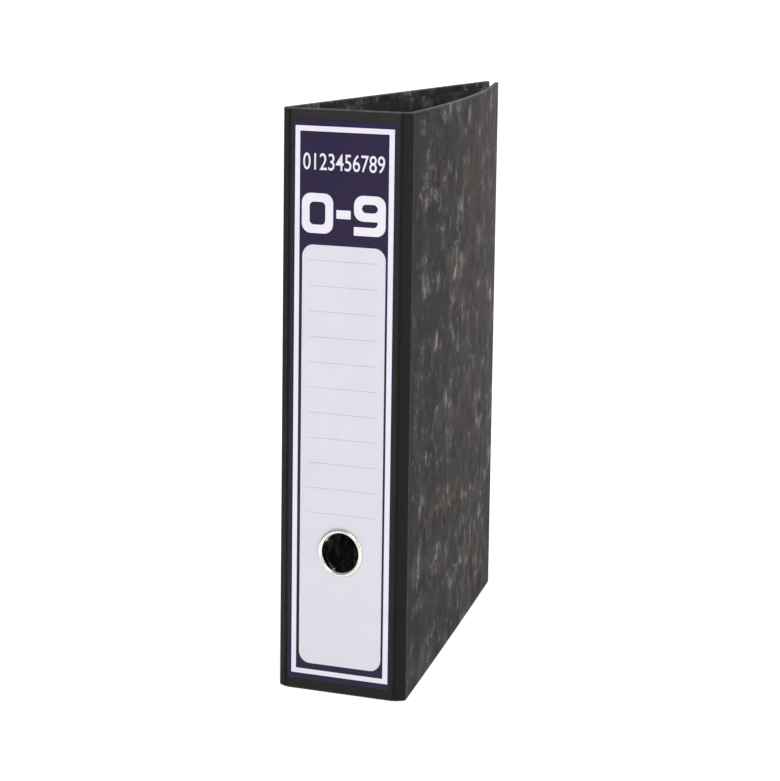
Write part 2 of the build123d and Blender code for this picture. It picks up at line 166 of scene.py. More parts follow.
def shade(mesh, angle=40):
    """Smooth shading that keeps edges sharper than the angle."""
    mesh.polygons.foreach_set("use_smooth", [True] * len(mesh.polygons))
    edit = bmesh.new()
    edit.from_mesh(mesh)
    for edge in edit.edges:
        sharp = len(edge.link_faces) == 2 and edge.calc_face_angle(0) > math.radians(angle)
        edge.smooth = not sharp
    edit.to_mesh(mesh)
    edit.free()


def store_flat(mesh, values):
    """Keeps each point's place on the unfolded sheet, which the paper patterns follow."""
    attribute = mesh.attributes.new("flat", "FLOAT_VECTOR", "POINT")
    attribute.data.foreach_set("vector", [x for value in values for x in value])


# ---- materials ----


class Finish:
    """A material's nodes around one Principled shader."""

    def __init__(self, name):
        self.material = bpy.data.materials.new(name)
        self.material.use_nodes = True
        self.tree = self.material.node_tree
        self.shader = self.tree.nodes["Principled BSDF"]

    def put(self, kind, inputs=None, **settings):
        node = self.tree.nodes.new(kind)
        for key, value in settings.items():
            setattr(node, key, value)
        for key, value in (inputs or {}).items():
            self.join(value, node.inputs[key])
        return node

    def join(self, value, socket):
        if isinstance(value, bpy.types.NodeSocket):
            self.tree.links.new(value, socket)
        else:
            socket.default_value = value

    def place(self, attribute=None):
        """Where a point is: on the unfolded sheet, or in the piece's own frame."""
        if attribute:
            return self.put("ShaderNodeAttribute", attribute_name=attribute).outputs["Vector"]
        return self.put("ShaderNodeTexCoord").outputs["Object"]

    def scaled(self, vector, scale, shift=(0, 0, 0)):
        node = self.put("ShaderNodeMapping", {"Vector": vector})
        node.inputs["Scale"].default_value = scale
        node.inputs["Location"].default_value = shift
        return node.outputs["Vector"]

    def noise(self, vector, size, detail, roughness=0.55):
        """Cloudy noise from 0 to 1 whose largest blobs have about this size, in metres."""
        inputs = {"Vector": vector, "Scale": 1 / size, "Detail": detail, "Roughness": roughness}
        return self.put("ShaderNodeTexNoise", inputs).outputs["Fac"]

    def ramp(self, value, *stops):
        """Colours or numbers between stops of (place, value)."""
        node = self.put("ShaderNodeValToRGB", {"Fac": value})
        ramp = node.color_ramp
        while len(ramp.elements) < len(stops):
            ramp.elements.new(0.5)
        for element, (place, colour) in zip(ramp.elements, stops):
            element.position = place
            number = isinstance(colour, (int, float))
            element.color = (colour, colour, colour, 1) if number else (*colour, 1)
        return node.outputs["Color"]

    def math(self, operation, a, b=0.0, clamp=False):
        node = self.put("ShaderNodeMath", operation=operation, use_clamp=clamp)
        self.join(a, node.inputs[0])
        self.join(b, node.inputs[1])
        return node.outputs[0]

    def times(self, a, b, clamp=False):
        return self.math("MULTIPLY", a, b, clamp)

    def tinted(self, a, b):
        """One colour multiplied by another."""
        return self.mix(1.0, a, b, "MULTIPLY")

    def mix(self, amount, a, b, blend="MIX"):
        node = self.put("ShaderNodeMix", data_type="RGBA", blend_type=blend)
        self.join(amount, node.inputs[0])
        for value, socket in ((a, node.inputs[6]), (b, node.inputs[7])):
            socket_value = (*value, 1) if isinstance(value, tuple) else value
            self.join(socket_value, socket)
        return node.outputs[2]

    def parts(self, vector):
        return self.put("ShaderNodeSeparateXYZ", {"Vector": vector}).outputs

    def remap(self, value, start, end, first=0.0, last=1.0, curve="LINEAR"):
        """A number that runs from first to last as value runs from start to end."""
        inputs = {"Value": value, "From Min": start, "From Max": end}
        inputs |= {"To Min": first, "To Max": last}
        node = self.put("ShaderNodeMapRange", inputs, interpolation_type=curve)
        return node.outputs["Result"]

    def bump(self, height, distance, strength):
        inputs = {"Height": height, "Distance": distance, "Strength": strength}
        self.join(self.put("ShaderNodeBump", inputs).outputs["Normal"], self.shader.inputs["Normal"])

    def set(self, **values):
        names = {
            "colour": "Base Color",
            "metal": "Metallic",
            "roughness": "Roughness",
            "specular": "Specular IOR Level",
        }
        for key, value in values.items():
            socket = self.shader.inputs[names[key]]
            self.join((*value, 1) if isinstance(value, tuple) else value, socket)


def covering_colour_with_foot_shade(finish, flat, sheet_parts):
    """The plain covering: near black, warmer and about half as bright at the foot; the warmer,
    darker foot is painted shade.
    """
    upward = finish.math("DIVIDE", sheet_parts["Z"], HEIGHT, clamp=True)
    # painted shade: darker and warmer towards the foot, where less light falls
    base = finish.ramp(upward, (0.0, (0.0110, 0.0102, 0.0088)), (1.0, (0.0205, 0.0197, 0.0188)))
    speck = finish.noise(flat, 0.9 * MM, 3, 0.7)
    grain = finish.ramp(speck, (0.3, 0.90), (0.7, 1.10))
    return finish.tinted(base, grain)


def covering(name):
    """Plain black covering of the spine and strips: a fine leathery grain with a soft sheen."""
    finish = Finish(name)
    flat = finish.place("flat")
    sheet_parts = finish.parts(flat)
    colour = covering_colour_with_foot_shade(finish, flat, sheet_parts)
    haze = finish.noise(flat, 45 * MM, 3, 0.6)
    colour = finish.mix(finish.times(haze, 0.2), colour, (0.042, 0.040, 0.038))
    colour = painted_crease_and_strip_shade(finish, sheet_parts, colour)
    colour = worn_and_highlit_edges(finish, flat, sheet_parts, colour)
    rough = finish.ramp(finish.noise(flat, 12 * MM, 4), (0.3, 0.56), (0.7, 0.70))
    finish.set(colour=colour, roughness=rough, specular=0.14)
    fine = finish.noise(flat, 0.45 * MM, 3, 0.6)
    broad = finish.noise(flat, 3.5 * MM, 2, 0.5)
    height = finish.math("ADD", fine, finish.times(broad, 0.8))
    finish.bump(height, 0.05 * MM, 0.35)
    return finish.material


def painted_crease_and_strip_shade(finish, sheet_parts, colour):
    """Painted shade: the covering is darkened along the spine's two creases, where shade falls, and
    over the strips, which lie in shade.
    """
    reach = finish.math("ABSOLUTE", sheet_parts["X"])
    away = finish.math("ABSOLUTE", finish.math("SUBTRACT", reach, SPINE_HALF))
    # painted shade in the creases, darkest at each crease line
    depth = finish.remap(away, 0.3 * MM, 1.3 * MM, 0.35, 1.0, "SMOOTHSTEP")
    colour = finish.tinted(colour, depth)
    # painted shade over the strips
    on_strip = finish.math("GREATER_THAN", reach, SPINE_HALF)
    return finish.mix(finish.times(on_strip, 0.6), colour, (0.0030, 0.0024, 0.0020))


def worn_and_highlit_edges(finish, flat, sheet_parts, colour):
    """Rubbed edges and a painted highlight: the covering greys along the top and bottom edges of the
    boards, partly as wear and partly as a painted highlight of light on the rounded edges.
    """
    from_top = finish.math("SUBTRACT", HEIGHT, sheet_parts["Z"])
    from_edge = finish.math("MINIMUM", from_top, sheet_parts["Z"])
    band = finish.remap(from_edge, 0.0, 0.85 * MM, 1.0, 0.0)
    patch = finish.ramp(finish.noise(flat, 9 * MM, 5, 0.7), (0.35, 0.25), (0.62, 1.0))
    rub_and_highlight = finish.times(band, patch, clamp=True)
    # the grey edge is partly wear and partly a painted highlight
    return finish.mix(finish.times(rub_and_highlight, 0.8), colour, (0.21, 0.205, 0.195))


def shifted(finish, place, size, reach, detail):
    """A place pushed about by noise, so that patterns drawn there look torn."""
    wander = finish.put(
        "ShaderNodeTexNoise", {"Vector": place, "Scale": 1 / size, "Detail": detail}
    ).outputs["Color"]
    push = wander
    for operation, value in (("SUBTRACT", 0.5), ("MULTIPLY", reach)):
        inputs = {0: push, 1: (value, value, value)}
        push = finish.put("ShaderNodeVectorMath", inputs, operation=operation).outputs[0]
    return finish.put("ShaderNodeVectorMath", {0: place, 1: push}, operation="ADD").outputs[0]


def marble_clouds(finish, flat, seed):
    """The grey clouds of the marbled paper: soft drifts and crisp torn flecks, both 0 to 1."""
    moved = finish.scaled(flat, (1, 1, 1), (seed, seed * 0.7, seed * 1.3))
    torn = shifted(finish, moved, 16 * MM, 18 * MM, 4.0)
    frayed = shifted(finish, torn, 4 * MM, 4 * MM, 4.0)
    long = shifted(finish, finish.scaled(moved, (0.38, 1, 1)), 10 * MM, 9 * MM, 3.0)
    drifts = finish.ramp(finish.noise(long, 22 * MM, 4, 0.6), (0.45, 0.0), (0.62, 1.0))
    clouds = finish.ramp(finish.noise(torn, 26 * MM, 6, 0.62), (0.46, 0.0), (0.64, 1.0))
    flecks = finish.ramp(finish.noise(frayed, 12 * MM, 6, 0.64), (0.52, 0.0), (0.64, 1.0))
    soft = finish.times(clouds, finish.math("ADD", 0.3, drifts))
    crisp = finish.times(flecks, finish.math("ADD", 0.07, drifts))
    crisp = finish.times(crisp, finish.math("ADD", 0.45, clouds))
    return finish.times(soft, 0.60, clamp=True), finish.times(crisp, 0.9)


def fade_in(finish, flat, sheet_parts, start, length):
    """0 up to 1 where the clouds begin past the strips, along a ragged line."""
    wisps = finish.noise(flat, 20 * MM, 5, 0.65)
    reach = finish.math("ABSOLUTE", sheet_parts["X"])
    reach = finish.math("ADD", reach, finish.times(wisps, 44 * MM))
    return finish.remap(reach, start, start + length, curve="SMOOTHSTEP")


def across_cover(finish, sheet_parts):
    """0 at a cover's crease up to 1 at its fore edge."""
    reach = finish.math("ABSOLUTE", sheet_parts["X"])
    return finish.remap(reach, SPINE_HALF, SPINE_HALF + COVER_LENGTH)


def marbled(name, seed, fade_from=None, brighter=1.0, near=(1, 1, 1), far=(1, 1, 1)):
    """Black marbled paper: dark ground, grey clouds, faint brown and green tints.

    Its ground and tints are multiplied by near at the crease and by far over the outer part, which
    paints shade and light across the sheet.
    """
    finish = Finish(name)
    flat = finish.place("flat")
    sheet_parts = finish.parts(flat)
    clouds, flecks = marble_clouds(finish, flat, seed)
    if fade_from is not None:
        shown = fade_in(finish, flat, sheet_parts, fade_from, 14 * MM)
        clouds = finish.times(clouds, shown)
        flecks = finish.times(flecks, shown)
    ground = covering_colour_with_foot_shade(finish, flat, sheet_parts)
    # near and far paint light and shade, not the paper's own colour
    painted_light_cast = finish.ramp(across_cover(finish, sheet_parts), (0.0, near), (0.6, far))
    ground = finish.tinted(ground, painted_light_cast)
    tint = finish.ramp(
        finish.noise(flat, 60 * MM, 2, 0.5),
        (0.36, (0.098, 0.078, 0.070)), (0.5, (0.090, 0.086, 0.082)), (0.64, (0.072, 0.084, 0.080)),
    )
    tint = finish.tinted(tint, painted_light_cast)
    tint = finish.tinted(tint, (brighter, brighter, brighter))
    colour = finish.mix(clouds, ground, tint)
    pale = (0.230 * brighter, 0.224 * brighter, 0.216 * brighter)
    colour = finish.mix(flecks, colour, pale)
    colour = worn_and_highlit_edges(finish, flat, sheet_parts, colour)
    rough = finish.ramp(finish.noise(flat, 15 * MM, 4), (0.3, 0.62), (0.7, 0.76))
    finish.set(colour=colour, roughness=rough, specular=0.08)
    fine = finish.noise(flat, 0.5 * MM, 3, 0.6)
    finish.bump(fine, 0.045 * MM, 0.3)
    return finish.material


def printed(name, colour, deep, grain=0.06):
    """Coated label paper with printed ink: a little uneven, with a satin face."""
    finish = Finish(name)
    place = finish.place()
    patch = finish.noise(place, 30 * MM, 3, 0.6)
    ink = finish.mix(finish.ramp(patch, (0.35, 0.0), (0.65, 1.0)), colour, deep)
    tooth = finish.noise(place, 0.5 * MM, 3, 0.6)
    shade_of_tooth = finish.ramp(tooth, (0.3, 1 - grain), (0.7, 1 + grain))
    ink = finish.tinted(ink, shade_of_tooth)
    rough = finish.ramp(finish.noise(place, 18 * MM, 3), (0.3, 0.38), (0.7, 0.5))
    finish.set(colour=ink, roughness=rough, specular=0.22)
    finish.bump(tooth, 0.02 * MM, 0.25)
    return finish.material


def metal(name, colour, rough=(0.16, 0.30), scratch=0.5, grain_size=1.6 * MM, stretch=(1, 1, 1)):
    """Plated steel: fine brushed grain, faint stains and a varying polish."""
    finish = Finish(name)
    place = finish.scaled(finish.place(), stretch)
    stain = finish.noise(place, 20 * MM, 4, 0.6)
    darker = tuple(0.80 * c for c in colour)
    tone = finish.mix(finish.ramp(stain, (0.35, 0.0), (0.7, 1.0)), colour, darker)
    brushed = finish.noise(place, grain_size, 5, 0.7)
    polish = finish.ramp(brushed, (0.3, rough[0]), (0.7, rough[1]))
    finish.set(colour=tone, metal=1.0, roughness=polish)
    finish.bump(brushed, 0.02 * MM, 0.2 * scratch)
    return finish.material


def plastic(name, colour):
    """Moulded plastic with a fine spark-eroded texture."""
    finish = Finish(name)
    place = finish.place()
    cloud = finish.noise(place, 14 * MM, 3, 0.5)
    lighter = tuple(1.5 * c for c in colour)
    tone = finish.mix(finish.ramp(cloud, (0.35, 0.0), (0.65, 0.6)), colour, lighter)
    texture = finish.noise(place, 0.35 * MM, 2, 0.5)
    rough = finish.ramp(texture, (0.3, 0.34), (0.7, 0.48))
    finish.set(colour=tone, roughness=rough, specular=0.5)
    finish.bump(texture, 0.03 * MM, 0.5)
    return finish.material


def board_edge(name):
    """Raw grey board, where a punched hole shows its layers."""
    finish = Finish(name)
    place = finish.place()
    layers = finish.noise(finish.scaled(place, (1, 6, 1)), 2.5 * MM, 5, 0.7)
    colour = finish.ramp(layers, (0.3, (0.13, 0.12, 0.105)), (0.7, (0.23, 0.215, 0.19)))
    finish.set(colour=colour, roughness=0.9, specular=0.2)
    finish.bump(layers, 0.15 * MM, 0.6)
    return finish.material


BLACK = covering("black_covering")
# The outer paper is painted darker near the crease and lighter towards the fore edge: painted shade
# and painted light.
MARBLE = marbled(
    "marbled_paper", 0.0, SPINE_HALF + 27 * MM, near=(0.73, 0.69, 0.68), far=(1.10, 0.92, 0.87)
)
# The lining is set lighter than the outer paper: painted light on a copy of the same marbled paper,
# for the dim inside of the file.
LINING = marbled("marbled_lining", 3.1, None, 1.9, near=(1.4, 1.42, 1.46), far=(1.4, 1.42, 1.46))
BOARD = board_edge("grey_board")
NAVY = printed("label_navy", (0.0122, 0.0082, 0.0425), (0.0180, 0.0078, 0.0360))
WHITE = printed("label_white", (0.612, 0.618, 0.682), (0.644, 0.640, 0.700), 0.012)
FRAME = printed("label_frame_white", (0.700, 0.690, 0.760), (0.740, 0.720, 0.780), 0.012)
RULE = printed("label_rule", (0.41, 0.41, 0.45), (0.46, 0.46, 0.51), 0.02)
NICKEL = metal("ring_nickel", (0.80, 0.76, 0.71), (0.13, 0.24), 0.3)
PLATE = metal("nickel_plate", (0.66, 0.65, 0.62), (0.24, 0.40), 1.0, 1.2 * MM, (1, 0.12, 1))
WIRE = metal("bright_wire", (0.80, 0.79, 0.77), (0.10, 0.22), 0.4)
PLASTIC = plastic("black_plastic", (0.012, 0.012, 0.013))


# ---- case: slabs and folds made of one closed section ----


def section(outer, inner, bottom, top, rows):
    """The closed section of a panel as (depth, z), with rounded edges at top and bottom."""
    radius = min(EDGE_RADIUS, 0.45 * (outer + inner))
    corners = (
        (radius - outer, top - radius, 180),
        (inner - radius, top - radius, 90),
        (inner - radius, bottom + radius, 0),
        (radius - outer, bottom + radius, -90),
    )
    points = []
    for depth, z, start in corners:
        for step in range(EDGE_STEPS + 1):
            turn = math.radians(start - 90 * step / EDGE_STEPS)
            points.append((depth + radius * math.cos(turn), z + radius * math.sin(turn)))
        if start in (90, -90):
            rise = (top - bottom - 2 * radius) * (-1 if start == 90 else 1)
            side = points[-1]
            points += [(side[0], side[1] + rise * row / rows) for row in range(1, rows)]
    return points


class Station:
    """One cut through a panel: its place on the unfolded sheet and in plan, and its section."""

    def __init__(self, along, point, outward, outer=OUTER, inner=INNER_FACE, trim=0.0):
        self.along = along
        self.point = point
        self.outward = outward
        self.outer = outer
        self.inner = inner
        self.bottom = trim
        self.top = HEIGHT - trim


def skin(name, verts, count):
    """A closed mesh through rings of count points each, with flat ends."""
    faces = []
    for start in range(0, len(verts) - count, count):
        for i in range(count):
            j = (i + 1) % count
            faces.append((start + i, start + j, start + count + j, start + count + i))
    ends = range(count), range(len(verts) - count, len(verts))
    faces += [tuple(ends[0])[::-1], tuple(ends[1])]
    mesh = bpy.data.meshes.new(name)
    mesh.from_pydata(verts, [], faces)
    return mesh


def wrap(name, stations, materials, rows=1, bow=None):
    """A closed mesh through stations, with the first material outside and the second inside."""
    verts, flats = [], []
    for station in stations:
        loop = section(station.outer, station.inner, station.bottom, station.top, rows)
        for depth, z in loop:
            shift = bow(station.along, z) if bow else 0.0
            place = station.point + station.outward * (shift - depth)
            verts.append((place.x, place.y, z))
            flats.append((station.along, depth, z))
    mesh = skin(name, verts, len(loop))
    first = 2 * EDGE_STEPS + 1
    for polygon in mesh.polygons:
        inside = first <= polygon.index % len(loop) < first + rows
        polygon.material_index = int(inside and len(materials) > 1)
    store_flat(mesh, flats)
    close_up(mesh)
    shade(mesh)
    return link(name, mesh, materials)


def close_up(mesh):
    """Faces pointing out and large caps cut into triangles."""
    edit = bmesh.new()
    edit.from_mesh(mesh)
    bmesh.ops.recalc_face_normals(edit, faces=edit.faces)
    large = [face for face in edit.faces if len(face.verts) > 4]
    bmesh.ops.triangulate(edit, faces=large)
    edit.to_mesh(mesh)
    edit.free()


class Panel:
    """A straight panel in plan, from its crease: heading, outward side, start on the sheet."""

    def __init__(self, origin, heading, side, along):
        self.origin = origin
        self.heading = heading
        self.side = side
        self.along = along

    def station(self, reach, **settings):
        point = self.origin + direction(self.heading) * reach
        outward = direction(self.heading - self.side * math.pi / 2)
        return Station(self.side * (self.along + reach), point, outward, **settings)


def fold_name(side):
    return "front" if side > 0 else "back"


def panels_of(side):
    """The spine, strip and cover panels of one side, each starting at its crease."""
    name = fold_name(side)
    first, second = f"{name}_strip_crease", f"{name}_cover_crease"
    heading = 0.0 if side > 0 else math.pi
    strip = heading + side * travel(first)
    cover = strip + side * travel(second)
    flat_first, flat_second = pivot(first).copy(), pivot(second).copy()
    flat_first.z = flat_second.z = 0
    width = (flat_second - flat_first).length
    half = abs(flat_first.x)
    return (
        Panel(flat_first, heading, side, half),
        Panel(flat_first, strip, side, half),
        Panel(flat_second, strip, side, half + width),
        Panel(flat_second, cover, side, half + width),
        width,
    )


def fold(name, before, after, start, end, reach, materials):
    """A piece bent across one crease, from start before it to end after it."""
    turn = after.heading - before.heading
    stations = []
    places = [start] if start < -reach else []
    places += [reach * (step / FOLD_STEPS - 1) for step in range(2 * FOLD_STEPS + 1)]
    places += [end] if end > reach else []
    for place in places:
        panel = before if place < 0 else after
        share = smooth((place + reach) / (2 * reach))
        angle = before.heading + turn * share - before.side * math.pi / 2
        near = 1 - smooth(abs(place) / reach)
        tight = 1 - smooth(abs(place) / (OUTER_GROOVE_SHARE * reach))
        tight *= (SPINE_FOLD_REACH / reach) ** 2
        station = panel.station(place)
        station.outward = direction(angle)
        station.outer = OUTER - OUTER_GROOVE * tight
        station.inner = INNER_FACE - INNER_GROOVE * near
        station.bottom += FOLD_DIP * tight
        station.top -= FOLD_DIP * tight
        stations.append(station)
    piece = wrap(name, stations, materials)
    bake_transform(piece)
    return piece


def side_folds(side):
    """The two folds of one side; they meet at the middle of the strip."""
    name = fold_name(side)
    spine, strip, strip_end, cover, width = panels_of(side)
    first = fold(
        f"{name}_spine_fold", spine, strip, -SPINE_FOLD_REACH, width / 2,
        SPINE_FOLD_REACH, (BLACK, LINING),
    )
    second = fold(
        f"{name}_cover_fold", strip_end, cover, -width / 2, COVER_FOLD_REACH,
        COVER_FOLD_REACH, (BLACK, LINING),
    )
    strip_nodes = (f"{name}_hinge_strip", f"{name}_strip_cloth", f"{name}_strip_lining")
    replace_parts(first, *strip_nodes)


def spine_slab():
    """The spine between its two folds, with the round finger hole punched through it."""
    reach = SPINE_HALF - SPINE_FOLD_REACH
    origin = Vector((0, pivot("front_strip_crease").y, 0))
    middle = Panel(origin, 0.0, 1, 0.0)
    stations = [middle.station(reach * step) for step in (-1, -0.5, 0.5, 1)]
    slab = wrap("spine_covering", stations, (BLACK, LINING))
    cutter = lathe(
        "hole_cutter",
        [(0, -5), (RING_BARREL, -5), (RING_BARREL, 5), (0, 5)],
        RING_CENTRE, (0, 1, 0), (BOARD,),
    )
    cut = slab.modifiers.new("hole", "BOOLEAN")
    cut.object = cutter
    cut.operation = "DIFFERENCE"
    cut.solver = "EXACT"
    slab.data = baked(slab)
    slab.modifiers.clear()
    bpy.data.objects.remove(cutter)
    mesh = slab.data
    if "flat" in mesh.attributes:
        mesh.attributes.remove(mesh.attributes["flat"])
    store_flat(mesh, [(v.co.x, v.co.y - origin.y, v.co.z) for v in mesh.vertices])
    shade(mesh)
    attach(slab, "spine")
    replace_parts(slab, "spine_board", "spine_cloth", "spine_lining")


def baked(piece):
    """The mesh that a piece shows, with its modifiers in it."""
    graph = bpy.context.evaluated_depsgraph_get()
    return bpy.data.meshes.new_from_object(piece.evaluated_get(graph))


def cover_stations(panel, count):
    """Cuts through a cover, close together at its rounded fore edge and corners."""
    straight = COVER_LENGTH - CORNER_RADIUS
    reaches = [
        COVER_FOLD_REACH + (straight - COVER_FOLD_REACH) * step / count
        for step in range(count + 1)
    ]
    round_start = COVER_LENGTH - EDGE_RADIUS
    for step in range(1, CORNER_STEPS):
        reaches.append(straight + CORNER_RADIUS * math.sin(math.pi / 2 * step / CORNER_STEPS))
    reaches = [reach for reach in reaches if reach < round_start]
    stations = [panel.station(reach, trim=corner_trim(reach)) for reach in reaches]
    for step in range(EDGE_STEPS + 1):
        turn = math.pi / 2 * step / EDGE_STEPS
        reach = round_start + EDGE_RADIUS * math.sin(turn)
        inset = EDGE_RADIUS * (1 - math.cos(turn))
        station = panel.station(reach, trim=corner_trim(reach - inset))
        station.outer -= inset
        station.inner -= inset
        stations.append(station)
    return stations


def corner_trim(reach):
    """How far the top and bottom edges come in at the fore edge's rounded corners."""
    past = reach - (COVER_LENGTH - CORNER_RADIUS)
    if past <= 0:
        return 0.0
    past = min(past, CORNER_RADIUS)
    return CORNER_RADIUS - math.sqrt(CORNER_RADIUS**2 - past**2)


def front_bow(panel):
    """How far the front cover bows outwards: most at its top, straight at both ends."""
    start = panel.along + COVER_FOLD_REACH
    length = COVER_LENGTH - COVER_FOLD_REACH

    def bow(along, z):
        share = min(1.0, max(0.0, (abs(along) - start) / length))
        depth = BOW_BOTTOM + (BOW_TOP - BOW_BOTTOM) * z / HEIGHT
        return 4 * depth * share * (1 - share)

    return bow


def cover(side):
    """A cover in its marbled paper, and the lining sheet glued inside it."""
    name = fold_name(side)
    panel = panels_of(side)[3]
    bow = front_bow(panel) if side > 0 else None
    slab = wrap(f"{name}_cover_covering", cover_stations(panel, 24), (MARBLE, MARBLE), 16, bow)
    reaches = [
        LINING_MARGIN + (COVER_LENGTH - 2 * LINING_MARGIN) * step / 24 for step in range(25)
    ]
    layer = {"outer": LINING_SINK - INNER_FACE, "inner": INNER + LINING_RISE}
    sheet = wrap(
        f"{name}_cover_lining_sheet",
        [panel.station(reach, trim=LINING_MARGIN, **layer) for reach in reaches],
        (LINING,), 16, bow,
    )
    for piece, slot in ((slab, "marbled_paper"), (sheet, "lining_paper")):
        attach(piece, f"{name}_cover")
    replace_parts(slab, f"{name}_cover_board", f"{name}_cover_paper")
    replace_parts(sheet, f"{name}_cover_lining")


# ---- turned and flat pieces ----


def lathe(name, profile, centre, axis, materials, segments=96, angle=40):
    """A closed turned piece: profile is (radius, height along the axis) in millimetres."""
    turn_to = Vector((0, 0, 1)).rotation_difference(Vector(axis)).to_matrix().to_4x4()
    place = Matrix.Translation(centre) @ turn_to @ Matrix.Scale(MM, 4)
    edit = bmesh.new()
    rings = []
    for radius, level in profile:
        if radius == 0:
            rings.append([edit.verts.new(place @ Vector((0, 0, level)))])
            continue
        angles = [2 * math.pi * step / segments for step in range(segments)]
        rings.append(
            [edit.verts.new(place @ (direction(a) * radius + Vector((0, 0, level)))) for a in angles]
        )
    closed = profile[0][0] != 0
    pairs = list(zip(rings, rings[1:])) + ([(rings[-1], rings[0])] if closed else [])
    for below, above in pairs:
        for i in range(segments):
            j = (i + 1) % segments
            corners = [below[i % len(below)], below[j % len(below)]]
            corners += [above[j % len(above)], above[i % len(above)]]
            unique = [v for k, v in enumerate(corners) if v not in corners[:k]]
            if len(unique) > 2:
                edit.faces.new(unique)
    bmesh.ops.recalc_face_normals(edit, faces=edit.faces)
    mesh = bpy.data.meshes.new(name)
    edit.to_mesh(mesh)
    edit.free()
    shade(mesh, angle)
    return link(name, mesh, materials)


def arc(centre, radius, start, end, steps=6):
    """Points on an arc, angles in degrees."""
    angles = [math.radians(start + (end - start) * step / steps) for step in range(steps + 1)]
    return [(centre[0] + radius * math.cos(a), centre[1] + radius * math.sin(a)) for a in angles]


def rounded_box(left, right, bottom, top, radius, steps=6):
    """A rounded rectangle's outline, anticlockwise."""
    if radius == 0:
        return [(left, bottom), (right, bottom), (right, top), (left, top)]
    corners = (
        (right - radius, bottom + radius, -90),
        (right - radius, top - radius, 0),
        (left + radius, top - radius, 90),
        (left + radius, bottom + radius, 180),
    )
    return [p for x, y, start in corners for p in arc((x, y), radius, start, start + 90, steps)]


def circle(x, y, radius, steps=48):
    return arc((x, y), radius, 0, 360 * (steps - 1) / steps, steps - 1)


def hull(points):
    """The convex outline around points, anticlockwise."""
    points = sorted(set((round(x, 6), round(y, 6)) for x, y in points))

    def chain(ordered):
        kept = []
        for x, y in ordered:
            while len(kept) > 1:
                (x0, y0), (x1, y1) = kept[-2:]
                if (x1 - x0) * (y - y0) > (y1 - y0) * (x - x0):
                    break
                kept.pop()
            kept.append((x, y))
        return kept[:-1]

    return chain(points) + chain(points[::-1])


def plate(name, outlines, thickness, place, materials, edge=0.0):
    """A flat plate in millimetres: the first outline with the others cut out of it.

    It is drawn in the place's XY plane and its thickness runs along +Z.
    """
    curve = bpy.data.curves.new(name, "CURVE")
    curve.dimensions = "2D"
    curve.fill_mode = "BOTH"
    for number, outline in enumerate(outlines):
        points = outline if number == 0 else outline[::-1]
        spline = curve.splines.new("POLY")
        spline.points.add(len(points) - 1)
        for point, (x, y) in zip(spline.points, points):
            point.co = (x, y, 0, 1)
        spline.use_cyclic_u = True
    curve.extrude = thickness / 2 - edge
    curve.bevel_depth = edge
    curve.bevel_resolution = 2
    curve.offset = -edge
    drawn = bpy.data.objects.new(name + "_outline", curve)
    bpy.context.scene.collection.objects.link(drawn)
    mesh = solid_of(drawn)
    mesh.transform(place @ Matrix.Scale(MM, 4) @ Matrix.Translation((0, 0, thickness / 2)))
    mesh.materials.clear()
    mesh.name = name
    shade(mesh)
    return link(name, mesh, materials)


def solid_of(drawn):
    """A closed mesh of a drawn curve or text, which is removed."""
    bpy.context.view_layer.update()
    mesh = baked(drawn)
    source = drawn.data
    bpy.data.objects.remove(drawn)
    bpy.data.curves.remove(source)
    edit = bmesh.new()
    edit.from_mesh(mesh)
    bmesh.ops.remove_doubles(edit, verts=edit.verts, dist=1e-4)
    bmesh.ops.dissolve_degenerate(edit, edges=edit.edges, dist=1e-5)
    bmesh.ops.recalc_face_normals(edit, faces=edit.faces)
    edit.to_mesh(mesh)
    edit.free()
    return mesh


# ---- label, in millimetres on the spine's outer face ----


def label_place(lift):
    """X right, Y up and Z towards the viewer, on the label's face."""
    turn = Matrix.Rotation(math.pi / 2, 4, "X")
    return Matrix.Translation((0, LABEL_FACE - lift * MM, 0)) @ turn


def on_label(piece):
    """Makes a piece part of the label, which rides on the spine."""
    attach(piece, "spine")
    return piece


def ink(name, outlines, material, lift=0.0):
    """A printed shape on the label, with its underside lift above the label's face."""
    on_label(plate(name, outlines, INK, label_place(lift), (material,)))


def ring_hole():
    return circle(0, RING_CENTRE.z / MM, RING_BARREL + 0.3, 64)


def label():
    """The printed label: navy sheet, white frame, white panel, ruled lines and numbers."""
    left, right = low("spine_label").x / MM, high("spine_label").x / MM
    foot, head = low("spine_label").z / MM, high("spine_label").z / MM
    base = rounded_box(left, right, foot, head, 1.0)
    under = LABEL_THICKNESS
    sheet = plate("label_sheet", [base, ring_hole()], under, label_place(-under), (NAVY,), 0.03)
    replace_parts(on_label(sheet), "spine_label")
    border = [rounded_box(*box, 0.3, 2) for box in (FRAME_OUTSIDE, FRAME_INSIDE)]
    ink("label_frame", border, FRAME)
    panel = rounded_box(*PANEL_BOX, 6.5, 10)
    ink("label_panel", [panel, ring_hole()], WHITE)
    for number in range(RULE_COUNT):
        level = RULE_TOP - RULE_SPACING * number
        line = rounded_box(RULE_LEFT, RULE_RIGHT, level - RULE_HALF, level + RULE_HALF, 0.0)
        ink(f"label_rule_{number + 1}", [line], RULE, INK)
    range_numbers()
    index_numbers()


def rounded_corners(corners, steps=5):
    """An outline through corners of (x, y, radius), each rounded by its radius."""
    points = []
    for number, (x, y, radius) in enumerate(corners):
        here = Vector((x, y))
        before = (Vector(corners[number - 1][:2]) - here).normalized()
        after = (Vector(corners[(number + 1) % len(corners)][:2]) - here).normalized()
        half = before.angle(after) / 2
        centre = here + (before + after).normalized() * radius / math.sin(half)
        start = here + before * radius / math.tan(half) - centre
        end = here + after * radius / math.tan(half) - centre
        sweep = start.angle_signed(end) if radius else 0.0
        for step in range(steps + 1 if radius else 1):
            turned = start.copy()
            turned.rotate(Matrix.Rotation(-sweep * step / steps, 2))
            points.append(tuple(centre + turned))
    return points


